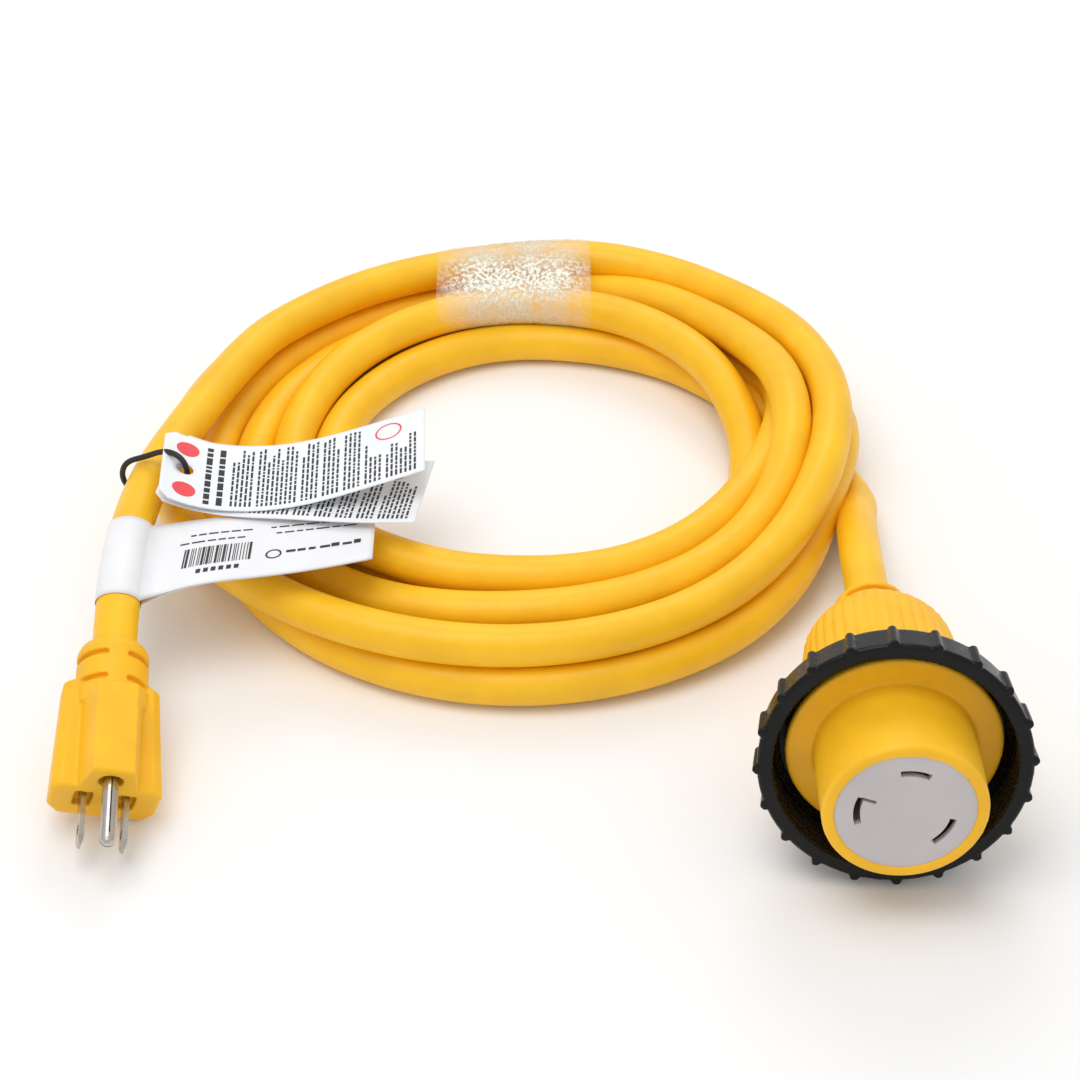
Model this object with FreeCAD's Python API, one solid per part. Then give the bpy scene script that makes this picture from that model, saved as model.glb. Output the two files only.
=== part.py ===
"""Shore power adapter cord: a moulded straight-blade plug, a loosely coiled heavy cord, and a locking
connector with a threaded sealing ring.  Millimetres, +Z up, the cord lies on the plane Z = 0, and the
connector's nose points towards -Y.  The origin is under the middle of the connector."""

import FreeCAD, Part
import math
import os
from FreeCAD import Vector

# ---------------------------------------------------------------- driving dimensions

CORD_R = 6.75

# connector: local z runs along its axis, 0 on the flange's front face, + towards the nose
CONN_TILT = 5.8            # degrees that the nose points up while the cord end rests low
NOSE_R, NOSE_LEN = 23.5, 29.0
FLANGE_R, FLANGE_T = 31.4, 3.0
POCKET_R, POCKET_FLOOR = 19.95, 5.0
CAVITY_R, CAVITY_END = 16.5, -24.0
DOME_R = 23.5
WAIST_R = 22.0             # in front of the dome, where the ring's lip goes round
COLLAR_R, COLLAR_END = 11.8, -68.0
CORD_SEAT = -50.0          # where the cord's jacket stops inside the collar
FLUTES, FLUTE_H = 40, 0.55
DOME_CURVE = [(11.8, -57.6), (13.2, -57.0), (16.4, -54.5), (19.7, -50.5), (21.9, -46.0), (23.0, -39.0),
              (DOME_R, -28.0), (DOME_R, -19.0), (WAIST_R, -16.0)]

# contacts: three curved slots round the face, as (mid angle, arc in degrees)
SLOT_R, SLOT_W = 13.7, 2.0
SLOTS = {"line": (82.0, 36.0), "neutral": (-31.5, 42.0), "ground": (178.0, 40.0)}
LEAF_T, LEAF_GAP = 0.6, 2.6
CARRIER_T, COVER_T = 20.4, 3.0
WIRE_R, CORE_R = 2.2, 1.4

# locking ring: local z 0 on its front rim, + towards the nose; it hangs loose, so it leans a little
RIM_FROM_FACE = 20.0
RIM_CENTRE = Vector(0.81, -27.75, 40.055)
RING_AT = Vector(0.0, -28.0, 41.065)
RING_TILT, RING_YAW = 13.0, -3.0
RING_R, RING_BELT_R, RING_REAR_R = 39.3, 38.3, 33.5        # front edge, end of the straight part, back
RING_BORE_R, RING_LIP_R = 34.8, 26.5
RING_LEN, RING_STRAIGHT, RING_LIP_T = 19.8, 11.0, 2.6
RIBS, RIB_R, RIB_PHASE = 20, 1.4, -85.5
THREAD_PITCH, THREAD_DEPTH = 3.0, 0.9

# plug: local z 0 on its front face, + towards the blade tips; local y 0 on the blades' line, + up
PLUG_AT = Vector(-229.29, -14.21, 12.9)
PLUG_PITCH, PLUG_ROLL, PLUG_YAW = 16.4, 17.0, 2.3
PLUG_LEN, PLUG_HALF_W, PLUG_REAR_HALF_W = 37.5, 16.4, 14.5
RIDGE_LEN = 31.5           # the ridge stops short of the wings
PLUG_BOTTOM, PLUG_WING_TOP, PLUG_RIDGE_TOP = -10.2, 7.2, 18.5
RIDGE_HALF_W, RAMP_HALF_W = 6.1, 9.2
RELIEF_R, RELIEF_END, RELIEF_Y = 10.9, -50.5, 2.8
BLADE_T, BLADE_W, BLADE_LEN, BLADE_X = 1.52, 6.35, 15.6, 6.35
PIN_R, PIN_LEN, PIN_Y = 2.38, 20.8, 11.9
CARRIER_Z = (-20.0, -6.0)
CARRIER_BLOCKS = ((-10.4, -6.4, 4.6), (-5.0, 4.6, 14.6))   # (left edge, bottom, top) of its two steps
PIN_ROOT_R = 2.7
PIN_FIT = 0.02
CHAMBER_LEN = 13.0         # wiring space behind the bridge
CHAMBER_ROOF = 11.2        # and its height behind the ridge's end
PLUG_CORD_SEAT = -38.0

# cord: where it is not coiled, a route of hand-placed points that starts at its seat in the moulding
PLUG_LEAD = [(-229.9, 21.49, 26.2), (-230.79, 43.54, 32.69), (-231.79, 74.89, 33.6),
             (-230.49, 106.89, 29.9), (-225.89, 135.89, 26.2)]
CONNECTOR_LEAD = [(0.81, 30.95, 34.093), (0.81, 60.79, 31.06), (1.3, 86.89, 25.4), (3.51, 114.89, 14.6)]

# coil: the outer shape of the turns, two circles that are not concentric, as (x, y, radius)
COIL_OUTER = (-111.89, 154.29, 120.0)
COIL_INNER = (-98.89, 152.29, 62.0)
COIL_Z = (0.5, 30.0)
COIL_ROUND = 9.0

# tape, labels and tags
TAPE_ANGLES = (75.4, 103.0)
TAPE_T = 0.4
LABEL_Y = (49.5, 87.5)
LABEL_T = 0.3
FLAG_CORNERS = [(-225.1, 58.0), (-152.8, 73.5), (-153.0, 102.0), (-225.1, 86.5)]
FLAG_Z = (30.7, 31.3)
LOOP_R = 0.95
TAG_HOLE = (-216.3, 115.0)
TAG_HOLE_R = 3.0
TAG_W, TAG_LEN, TAG_T = 35.0, 83.0, 0.4
TAG_MARGIN = 4.6           # from the hole's centre to the tag's near edge
TAG_UPPER_TURN, TAG_LOWER_TURN = 8.0, -9.0
TAG_UPPER_Z, TAG_LOWER_Z = 37.6, 36.7

Z = Vector(0, 0, 1)
ORIGIN = Vector(0, 0, 0)


# ---------------------------------------------------------------- helpers

def rotation(axis, degrees):
    return FreeCAD.Rotation(axis, degrees)


def pose(point, tilt, yaw, roll=0.0):
    """A placement that takes local +z to the direction that looks along -Y, raised by tilt."""
    turn = rotation(Z, yaw).multiply(rotation(Vector(1, 0, 0), 90 - tilt)).multiply(rotation(Z, -roll))
    return FreeCAD.Placement(point, turn)


def placed(shape, placement):
    copy = shape.copy()
    copy.Placement = placement.multiply(shape.Placement)
    return copy


def lathe(outline):
    """A solid of revolution about z from a closed (radius, z) outline."""
    points = [Vector(r, 0, z) for r, z in outline]
    face = Part.Face(Part.makePolygon(points + points[:1]))
    return face.revolve(ORIGIN, Z, 360)


def cylinder(radius, z0, z1, x=0.0, y=0.0):
    return Part.makeCylinder(radius, z1 - z0, Vector(x, y, z0))


def box(low, high):
    size = [b - a for a, b in zip(low, high)]
    return Part.makeBox(*size, Vector(*low))


def sector(r0, r1, z0, z1, mid, arc):
    """A curved block: part of a thick tube about z, centred on the angle mid."""
    ring = Part.makeCylinder(r1, z1 - z0, Vector(0, 0, z0), Z, arc)
    hole = Part.makeCylinder(r0, z1 - z0 + 2, Vector(0, 0, z0 - 1))
    block = ring.cut(hole)
    block.rotate(ORIGIN, Z, mid - arc / 2)
    return block


def prism(outline, z0, z1):
    points = [Vector(x, y, z0) for x, y in outline]
    return Part.Face(Part.makePolygon(points + points[:1])).extrude(Vector(0, 0, z1 - z0))


def solid_of(shape):
    """The single biggest solid of a boolean's result, cleaned."""
    return max(shape.Solids, key=lambda s: s.Volume).removeSplitter()


def arc_path(points, name="", share=0.45):
    """Straight runs joined by tangent arcs, each arc as large as its two runs allow."""
    pts = [Vector(*p) for p in points]
    edges = []
    start = pts[0]
    radii = []
    for before, here, after in zip(pts, pts[1:], pts[2:]):
        a = (before - here).normalize()
        b = (after - here).normalize()
        half_turn = (math.pi - a.getAngle(b)) / 2
        back = share * min((before - here).Length, (after - here).Length)
        radius = back / math.tan(half_turn)
        radii.append(round(radius, 1))
        first, last = here + a * back, here + b * back
        bisector = (a + b).normalize()
        centre = here + bisector * (radius / math.cos(half_turn))
        middle = centre - bisector * radius
        edges.append(Part.LineSegment(start, first).toShape())
        edges.append(Part.Arc(first, middle, last).toShape())
        start = last
    edges.append(Part.LineSegment(start, pts[-1]).toShape())
    wire = Part.Wire(edges)
    if name:
        runs = [round((q - p).Length, 1) for p, q in zip(pts, pts[1:])]
        print(f"{name}: runs {runs}, arc radii {radii}, length {wire.Length:.1f}")
    return wire


def tube(points, radius, name=""):
    wire = arc_path(points, name)
    start = Vector(*points[0])
    along = (Vector(*points[1]) - start).normalize()
    profile = Part.Wire(Part.makeCircle(radius, start, along))
    solid = wire.makePipeShell([profile], True, False)
    if name:
        expected = math.pi * radius ** 2 * wire.Length
        print(f"{name}: volume / (section x length) = {solid.Volume / expected:.4f}")
    return solid


def export(shapes):
    os.makedirs("parts", exist_ok=True)
    for name, shape in shapes.items():
        if not shape.isValid():
            print("INVALID", name)
        shape.exportStep(f"parts/{name}.step")


# ---------------------------------------------------------------- connector

def connector_outline():
    """Collar, dome, waist, flange and nose as one outer profile."""
    return [(0, COLLAR_END), (COLLAR_R - 1.2, COLLAR_END), (COLLAR_R, COLLAR_END + 1.2), *DOME_CURVE,
            (WAIST_R, -FLANGE_T), (FLANGE_R - 0.6, -FLANGE_T), (FLANGE_R, -FLANGE_T + 0.6), (FLANGE_R, -0.6), (FLANGE_R - 0.6, 0),
            (NOSE_R, 0), (NOSE_R, NOSE_LEN - 0.9), (NOSE_R - 0.9, NOSE_LEN), (0, NOSE_LEN)]


def flutes():
    """Raised grip ribs round the dome, each a thin wedge of a slightly larger dome."""
    stations = DOME_CURVE[1:-1]
    outer = [(r + FLUTE_H, z) for r, z in stations]
    inner = [(r - 1.0, z) for r, z in reversed(stations)]
    face = Part.Face(Part.makePolygon([Vector(r, 0, z) for r, z in outer + inner + outer[:1]]))
    pitch = 360.0 / FLUTES
    wedge = face.revolve(ORIGIN, Z, pitch * 0.55)
    ribs = []
    for i in range(FLUTES):
        rib = wedge.copy()
        rib.rotate(ORIGIN, Z, i * pitch)
        ribs.append(rib)
    return ribs


def collar_slots():
    """Flex slots cut through the collar in two staggered rows."""
    rows = [(-64.2, (20.0, 140.0)), (-64.2, (200.0, 340.0)), (-60.0, (-70.0, 60.0)), (-60.0, (110.0, 240.0))]
    return [sector(CORD_R + 2.4, COLLAR_R + 1, z - 1.0, z + 1.0, (a + b) / 2, b - a) for z, (a, b) in rows]


def connector_body():
    body = lathe(connector_outline()).fuse(flutes())
    hollow = [cylinder(POCKET_R, POCKET_FLOOR, NOSE_LEN + 1), cylinder(CAVITY_R, CAVITY_END, POCKET_FLOOR),
              cylinder(CORD_R - 0.6, CORD_SEAT, CAVITY_END), cylinder(CORD_R, COLLAR_END - 1, CORD_SEAT)]
    return solid_of(body.cut(hollow + collar_slots()))


def slot_point(kind):
    angle = math.radians(SLOTS[kind][0])
    return SLOT_R * math.cos(angle), SLOT_R * math.sin(angle)


def contact_carrier():
    """The pale insert in the nose, with a narrow curved mouth and a wider chamber for each contact."""
    low = POCKET_FLOOR + COVER_T
    top = low + CARRIER_T
    carrier = cylinder(POCKET_R, low, top)
    cuts = []
    for kind, (mid, arc) in SLOTS.items():
        cuts.append(sector(SLOT_R - SLOT_W / 2, SLOT_R + SLOT_W / 2, low, top + 1, mid, arc))
        cuts.append(sector(SLOT_R - LEAF_GAP, SLOT_R + LEAF_GAP, low - 1, top - 1.8, mid, arc + 8))
    hook_mid, hook_arc = SLOTS["ground"]
    hook = box((SLOT_R - 4.6, -SLOT_W / 2, top - 1.8), (SLOT_R, SLOT_W / 2 - 0.9, top + 1))
    hook.rotate(ORIGIN, Z, hook_mid - hook_arc / 2 + 3.0)
    return solid_of(carrier.cut(cuts + [hook]))


def carrier_cover():
    cover = cylinder(POCKET_R, POCKET_FLOOR, POCKET_FLOOR + COVER_T)
    holes = [cylinder(WIRE_R + 0.35, 0, NOSE_LEN, *slot_point(kind)) for kind in SLOTS]
    return solid_of(cover.cut(holes))


def contact(kind):
    """Two spring leaves on a base, with a crimp barrel that passes through the cover."""
    mid, arc = SLOTS[kind]
    low = POCKET_FLOOR + COVER_T
    reach = LEAF_GAP - 0.3
    leaves = [sector(SLOT_R - reach, SLOT_R - reach + LEAF_T, low, low + 17.0, mid, arc),
              sector(SLOT_R + reach - LEAF_T, SLOT_R + reach, low, low + 17.0, mid, arc)]
    base = sector(SLOT_R - reach, SLOT_R + reach, low, low + 1.0, mid, arc)
    x, y = slot_point(kind)
    barrel = cylinder(WIRE_R, -3.0, low + 0.5, x, y)
    bore = cylinder(CORE_R, -4.0, low - 1.5, x, y)
    return solid_of(base.fuse(leaves + [barrel]).cut(bore))


def connector_wire(kind):
    """An insulated conductor from the cord's end to its contact's barrel."""
    x, y = slot_point(kind)
    angle = math.atan2(y, x)
    near = (2.9 * math.cos(angle), 2.9 * math.sin(angle))
    wire = tube([(*near, CORD_SEAT), (*near, -25.5), (0.55 * x, 0.55 * y, -17.0), (x, y, -10.0), (x, y, -3.0)],
                WIRE_R * 0.82)
    core = cylinder(CORE_R, -4.0, 4.0, x, y)
    return solid_of(wire.fuse(core))


def connector_placement():
    tilt = math.radians(CONN_TILT)
    axis = Vector(0, -math.cos(tilt), math.sin(tilt))
    flange = RIM_CENTRE + axis * (RIM_FROM_FACE - NOSE_LEN)
    return pose(flange, CONN_TILT, 0.0)


# ---------------------------------------------------------------- locking ring

def locking_ring():
    """Threaded sealing ring with grip ribs; its rear lip catches the flange from behind."""
    outline = [(RING_LIP_R, -RING_LEN), (RING_REAR_R, -RING_LEN), (RING_BELT_R, -RING_STRAIGHT),
               (RING_R, -0.8), (RING_R - 0.8, 0), (RING_BORE_R, 0)]
    z = -2.0
    while z > -RING_STRAIGHT - 0.5:
        outline += [(RING_BORE_R, z), (RING_BORE_R + THREAD_DEPTH, z - THREAD_PITCH / 3),
                    (RING_BORE_R + THREAD_DEPTH, z - THREAD_PITCH / 2), (RING_BORE_R, z - 5 * THREAD_PITCH / 6)]
        z -= THREAD_PITCH
    outline += [(RING_BORE_R, -RING_LEN + RING_LIP_T + 1.6), (RING_REAR_R - 0.8, -RING_LEN + RING_LIP_T),
                (RING_LIP_R, -RING_LEN + RING_LIP_T)]
    ring = lathe(outline)
    foot = Vector(RING_BELT_R, 0, -RING_STRAIGHT)
    top = Vector(RING_R, 0, 0)
    rib = Part.makeCylinder(RIB_R, (top - foot).Length, foot, top - foot)
    for i in range(RIBS):
        one = rib.copy()
        one.rotate(ORIGIN, Z, 360.0 * i / RIBS + RIB_PHASE)
        ring = ring.fuse(one.cut(cylinder(RING_BORE_R + 2, -RING_LEN, 1)))
    return solid_of(ring)


# ---------------------------------------------------------------- plug

def plug_section(half_w, inset):
    """The plug's cross-section: two wings, ramps and the raised ridge over the ground pin."""
    ridge = PLUG_RIDGE_TOP - inset
    wing = PLUG_WING_TOP - inset / 2
    low = PLUG_BOTTOM + inset / 2
    return [(-half_w + 3.8, low), (half_w - 3.8, low), (half_w - 0.3, low + 4.2), (half_w, wing - 2.4),
            (half_w - 2.4, wing), (RAMP_HALF_W, wing), (RIDGE_HALF_W, ridge), (-RIDGE_HALF_W, ridge),
            (-RAMP_HALF_W, wing), (-half_w + 2.4, wing), (-half_w, wing - 2.4),
            (-half_w + 0.3, low + 4.2)]


def plug_shell():
    """A straight loft from the rear to the front section, with softened ends."""
    stations = [(-PLUG_LEN, PLUG_REAR_HALF_W - 1.2, 3.4), (-PLUG_LEN + 1.4, PLUG_REAR_HALF_W, 2.2),
                (-0.8, PLUG_HALF_W, 0.0), (0.0, PLUG_HALF_W - 0.6, 0.7)]
    wires = []
    for z, half_w, inset in stations:
        points = [Vector(x, y, z) for x, y in plug_section(half_w, inset)]
        wires.append(Part.makePolygon(points + points[:1]))
    shell = Part.makeLoft(wires, True, True)
    return shell.cut(box((-20, PLUG_WING_TOP - 0.6, -PLUG_LEN - 1), (20, 30, -RIDGE_LEN)))


def plug_relief():
    """The round flexible end, with two rows of slots on each side of a rib."""
    end = RELIEF_END
    outline = [(0, end), (RELIEF_R - 3.4, end), (RELIEF_R - 1.0, end + 1.2), (RELIEF_R, end + 3.6),
               (RELIEF_R, -RIDGE_LEN + 3), (0, -RIDGE_LEN + 3)]
    relief = lathe(outline)
    cuts = []
    for z, mid, arc in ((-43.8, 0, 148), (-43.8, 180, 148), (-35.4, 46, 56), (-35.4, 134, 56)):
        cuts.append(sector(CORD_R + 2.0, RELIEF_R + 1, z - 0.9, z + 0.9, mid, arc))
    relief = relief.cut(cuts)
    relief.translate(Vector(0, RELIEF_Y, 0))
    return relief


def stepped_block(z0, z1):
    """The inner bridge's outline: a wide step for the blades and a narrow one for the ground pin."""
    steps = [box((left, low, z0), (-left, high, z1)) for left, low, high in CARRIER_BLOCKS]
    return solid_of(steps[0].fuse(steps[1:]))


def wiring_chamber():
    """The bridge's seat and the space behind it, kept low where the ridge has ended."""
    rear = CARRIER_Z[0] - CHAMBER_LEN
    return stepped_block(rear, CARRIER_Z[1]).cut(box((-20, CHAMBER_ROOF, rear - 1), (20, 30, 1.5 - RIDGE_LEN)))


def plug_body():
    body = plug_shell().fuse(plug_relief())
    z0, z1 = CARRIER_Z
    cuts = [cylinder(CORD_R, RELIEF_END - 1, PLUG_CORD_SEAT, 0, RELIEF_Y),
            cylinder(CORD_R - 0.6, PLUG_CORD_SEAT, z0 - 6, 0, RELIEF_Y), wiring_chamber(),
            cylinder(PIN_ROOT_R + PIN_FIT, z1 - 1, 1, 0, PIN_Y), cylinder(3.6, -3.0, 1, 0, PIN_Y)]
    for x in (-BLADE_X, BLADE_X):
        cuts.append(box((x - BLADE_T / 2, -BLADE_W / 2, z1 - 1), (x + BLADE_T / 2, BLADE_W / 2, 1)))
        cuts.append(box((x - 2.6, -4.2, -2.6), (x + 2.6, 4.2, 1)))
    return solid_of(body.cut(cuts))


def plug_blade_carrier():
    z0, z1 = CARRIER_Z
    block = stepped_block(z0, z1)
    cuts = [cylinder(PIN_ROOT_R + PIN_FIT, z0 - 1, z1 + 1, 0, PIN_Y)]
    for x in (-BLADE_X, BLADE_X):
        cuts.append(box((x - BLADE_T / 2, -BLADE_W / 2, z0 - 1), (x + BLADE_T / 2, BLADE_W / 2, z1 + 1)))
    return solid_of(block.cut(cuts))


def plug_blade(x):
    """A flat blade with a chamfered tip and a detent hole, and a crimp barrel behind the carrier."""
    w = BLADE_W / 2
    outline = [(-w, CARRIER_Z[0] - 1.0), (w, CARRIER_Z[0] - 1.0), (w, BLADE_LEN - 2.6),
               (w - 1.5, BLADE_LEN), (-w + 1.5, BLADE_LEN), (-w, BLADE_LEN - 2.6)]
    points = [Vector(x - BLADE_T / 2, y, z) for y, z in outline]
    blade = Part.Face(Part.makePolygon(points + points[:1])).extrude(Vector(BLADE_T, 0, 0))
    hole = Part.makeCylinder(1.6, 6, Vector(x - 3, 0, BLADE_LEN - 5.2), Vector(1, 0, 0))
    blade = blade.cut(hole)
    tip = BLADE_LEN
    for side in (-1, 1):
        wedge = [Vector(x + side * BLADE_T / 2, -5, tip - 1.6), Vector(x + side * 2, -5, tip + 0.2),
                 Vector(x + side * 0.3, -5, tip + 0.2), Vector(x + side * 0.3, -5, tip)]
        face = Part.Face(Part.makePolygon(wedge + wedge[:1]))
        blade = blade.cut(face.extrude(Vector(0, 10, 0)))
    barrel = cylinder(2.1, CARRIER_Z[0] - 5.0, CARRIER_Z[0] - 0.5, x, 0)
    bore = cylinder(CORE_R, CARRIER_Z[0] - 6.0, CARRIER_Z[0] - 1.6, x, 0)
    return solid_of(blade.fuse(barrel).cut(bore))


def plug_ground_pin():
    """A rolled tube with a rounded, cross-slit tip."""
    outline = [(0, CARRIER_Z[0] - 5.0), (PIN_ROOT_R, CARRIER_Z[0] - 5.0), (PIN_ROOT_R, -3.0),
               (PIN_R, -3.0), (PIN_R, PIN_LEN - 2.2),
               (PIN_R - 0.35, PIN_LEN - 1.1), (PIN_R - 1.0, PIN_LEN - 0.35), (PIN_R - 1.7, PIN_LEN), (0, PIN_LEN)]
    pin = lathe(outline)
    cuts = [cylinder(1.5, -1, PIN_LEN - 2.4), cylinder(CORE_R, CARRIER_Z[0] - 6, CARRIER_Z[0] - 1.6),
            box((-3, -0.18, PIN_LEN - 3.4), (3, 0.18, PIN_LEN + 1)), box((-0.18, 0, -0.5), (0.18, 3, PIN_LEN - 3.4))]
    pin = solid_of(pin.cut(cuts))
    pin.translate(Vector(0, PIN_Y, 0))
    return pin


def plug_wire(x, y):
    """An insulated conductor from the cord's end to a blade's or the pin's barrel."""
    end = CARRIER_Z[0] - 5.0
    dx, dy = x, y - RELIEF_Y
    size = math.hypot(dx, dy)
    near = (2.9 * dx / size, RELIEF_Y + 2.9 * dy / size)
    middle = (near[0] + 0.5 * (x - near[0]), near[1] + 0.5 * (y - near[1]))
    wire = tube([(*near, PLUG_CORD_SEAT), (*near, end - 7.6), (*middle, end - 4.8), (x, y, end - 2.4), (x, y, end)],
                WIRE_R * 0.82)
    core = cylinder(CORE_R, end - 0.5, end + 3.2, x, y)
    return solid_of(wire.fuse(core))


# ---------------------------------------------------------------- coil, tape, labels and tags

def cord_coil():
    """The closed outer shape of the coiled turns."""
    z0, z1 = COIL_Z
    x, y, radius = COIL_OUTER
    disc = Part.makeCylinder(radius, z1 - z0, Vector(x, y, z0))
    x, y, radius = COIL_INNER
    ring = disc.cut(Part.makeCylinder(radius, z1 - z0 + 2, Vector(x, y, z0 - 1)))
    rims = [e for e in ring.Edges if e.Length > 300 and abs(e.BoundBox.ZMax - e.BoundBox.ZMin) < 0.01]
    return ring.makeFillet(COIL_ROUND, rims)


def coil_tape():
    """A closed band round the bundled turns."""
    x, y, radius = COIL_OUTER
    start, end = TAPE_ANGLES
    z0, z1 = COIL_Z
    r1 = radius + 0.1
    r0 = 55.2
    outer = [(r0 - TAPE_T, z0 - TAPE_T - 0.1), (r1 + TAPE_T, z0 - TAPE_T - 0.1),
             (r1 + TAPE_T, z1 + TAPE_T + 0.1), (r0 - TAPE_T, z1 + TAPE_T + 0.1)]
    inner = [(r0, z0 - 0.1), (r1, z0 - 0.1), (r1, z1 + 0.1), (r0, z1 + 0.1)]
    solids = []
    for loop in (outer, inner):
        points = [Vector(r, 0, z) for r, z in loop]
        face = Part.Face(Part.makePolygon(points + points[:1]))
        solids.append(face.revolve(ORIGIN, Z, end - start))
    band = solids[0].cut(solids[1])
    band.rotate(ORIGIN, Z, start)
    band.translate(Vector(x, y, 0))
    return solid_of(band)


def flag_label(lead):
    """An adhesive band round the plug's lead with a flag that lies out over the coil."""
    y0, y1 = LABEL_Y
    sleeve = tube(PLUG_LEAD, CORD_R + LABEL_T).common(box((-250, y0, 0), (-210, y1, 60)))
    flag = prism(FLAG_CORNERS, *FLAG_Z)
    return solid_of(sleeve.fuse(flag).cut(lead))


def tag_loop():
    """A closed string loop round the lead and through both tags' holes."""
    reach, low, high = 22.0, 17.6, 40.4
    x1, y = TAG_HOLE
    x0 = x1 - reach
    corner = 5.0
    corners = [(x0, low), (x1, low), (x1, high), (x0, high)]
    edges = []
    for i, (cx, cz) in enumerate(corners):
        here = Vector(cx, y, cz)
        after = Vector(corners[(i + 1) % 4][0], y, corners[(i + 1) % 4][1])
        before = Vector(corners[i - 1][0], y, corners[i - 1][1])
        into = (before - here).normalize()
        out = (after - here).normalize()
        first, last = here + into * corner, here + out * corner
        centre = here + into * corner + out * corner
        middle = centre + (here - centre).normalize() * corner
        edges.append(Part.Arc(first, middle, last).toShape())
        edges.append(Part.LineSegment(last, after - out * corner).toShape())
    path = Part.Wire(edges)
    start = edges[0].valueAt(edges[0].FirstParameter)
    profile = Part.Wire(Part.makeCircle(LOOP_R, start, edges[0].tangentAt(edges[0].FirstParameter)))
    return path.makePipeShell([profile], True, False)


def hang_tag(z, turn):
    """A stiff paper tag with clipped corners beside its hole."""
    half = TAG_W / 2
    clip = 3.0
    outline = [(-TAG_MARGIN, -half + clip), (-TAG_MARGIN + clip, -half), (TAG_LEN - TAG_MARGIN, -half),
               (TAG_LEN - TAG_MARGIN, half), (-TAG_MARGIN + clip, half), (-TAG_MARGIN, half - clip)]
    tag = prism(outline, 0, TAG_T).cut(cylinder(TAG_HOLE_R, -1, 1))
    tag.rotate(ORIGIN, Z, turn)
    tag.translate(Vector(*TAG_HOLE, z))
    return solid_of(tag)


# ---------------------------------------------------------------- assembly

def build():
    at_connector = connector_placement()
    at_ring = pose(RING_AT, RING_TILT, RING_YAW)
    at_plug = pose(PLUG_AT, -PLUG_PITCH, PLUG_YAW, PLUG_ROLL)
    shapes = {
        "connector_body": placed(connector_body(), at_connector),
        "contact_carrier": placed(contact_carrier(), at_connector),
        "carrier_cover": placed(carrier_cover(), at_connector),
        "locking_ring": placed(locking_ring(), at_ring),
        "plug_body": placed(plug_body(), at_plug),
        "plug_blade_carrier": placed(plug_blade_carrier(), at_plug),
        "plug_line_blade": placed(plug_blade(BLADE_X), at_plug),
        "plug_neutral_blade": placed(plug_blade(-BLADE_X), at_plug),
        "plug_ground_pin": placed(plug_ground_pin(), at_plug),
        "plug_line_wire": placed(plug_wire(BLADE_X, 0.0), at_plug),
        "plug_neutral_wire": placed(plug_wire(-BLADE_X, 0.0), at_plug),
        "plug_ground_wire": placed(plug_wire(0.0, PIN_Y), at_plug),
    }
    for kind in SLOTS:
        shapes[f"connector_{kind}_contact"] = placed(contact(kind), at_connector)
        shapes[f"connector_{kind}_wire"] = placed(connector_wire(kind), at_connector)
    lead = tube(PLUG_LEAD, CORD_R, "plug lead")
    shapes["cord_plug_lead"] = lead
    shapes["cord_connector_lead"] = tube(CONNECTOR_LEAD, CORD_R, "connector lead")
    shapes["cord_coil"] = cord_coil()
    shapes["coil_tape"] = coil_tape()
    shapes["flag_label"] = flag_label(lead)
    shapes["tag_loop"] = tag_loop()
    shapes["hang_tag_upper"] = hang_tag(TAG_UPPER_Z, TAG_UPPER_TURN)
    shapes["hang_tag_lower"] = hang_tag(TAG_LOWER_Z, TAG_LOWER_TURN)
    return shapes


def report(shapes):
    own = FreeCAD.BoundBox()
    for name, shape in shapes.items():
        if name.startswith(("connector", "contact", "carrier", "locking")):
            own.add(shape.optimalBoundingBox())
        low = shape.BoundBox.ZMin
        if low < -0.001 or len(shape.Solids) != 1:
            print(f"{name}: lowest {low:.3f}, solids {len(shape.Solids)}")
    print(f"connector box centre ({own.Center.x:.3f}, {own.Center.y:.3f}), lowest {own.ZMin:.3f}")


model = build()
report(model)
export(model)
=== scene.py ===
import math
import random

import bpy
import numpy as np
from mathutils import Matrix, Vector


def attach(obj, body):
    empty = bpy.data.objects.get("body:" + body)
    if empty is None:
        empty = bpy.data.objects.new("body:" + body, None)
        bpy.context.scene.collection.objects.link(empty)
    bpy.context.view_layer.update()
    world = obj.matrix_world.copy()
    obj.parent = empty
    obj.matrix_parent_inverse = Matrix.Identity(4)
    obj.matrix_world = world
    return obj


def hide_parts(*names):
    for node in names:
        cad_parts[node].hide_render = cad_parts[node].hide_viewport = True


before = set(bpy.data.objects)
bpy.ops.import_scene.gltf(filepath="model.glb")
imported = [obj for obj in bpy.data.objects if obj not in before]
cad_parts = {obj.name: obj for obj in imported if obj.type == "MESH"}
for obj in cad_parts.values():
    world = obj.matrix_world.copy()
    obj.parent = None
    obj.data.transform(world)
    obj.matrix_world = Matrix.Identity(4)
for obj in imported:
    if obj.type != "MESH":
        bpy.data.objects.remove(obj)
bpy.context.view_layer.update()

# Looks of a shore power adapter cord: the coil, its tape, label, string and tags, round a fixed CAD frame.
# Lengths are in millimetres unless a name or comment says metres.

MM = 0.001
CORD_R = 6.75

# ---------------------------------------------------------------- camera, floor and light

SUBJECT = (-0.1, 0.12, 0)    # metres, what the lights are aimed at
CAMERA_AT = (-100.89, -566.81, 577.0)
CAMERA_AIM = (-100.89, 120.79, 0.0)
LENS, SENSOR = 89.0, 36.0
FLOOR_HALF, FLOOR_DROP = 3.0, 0.0002     # metres; the drop keeps the floor just under the cord
FLOOR_COLOUR, FLOOR_ROUGHNESS = (0.93, 0.93, 0.93), 0.7
SKY_STRENGTH = 0.72


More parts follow.
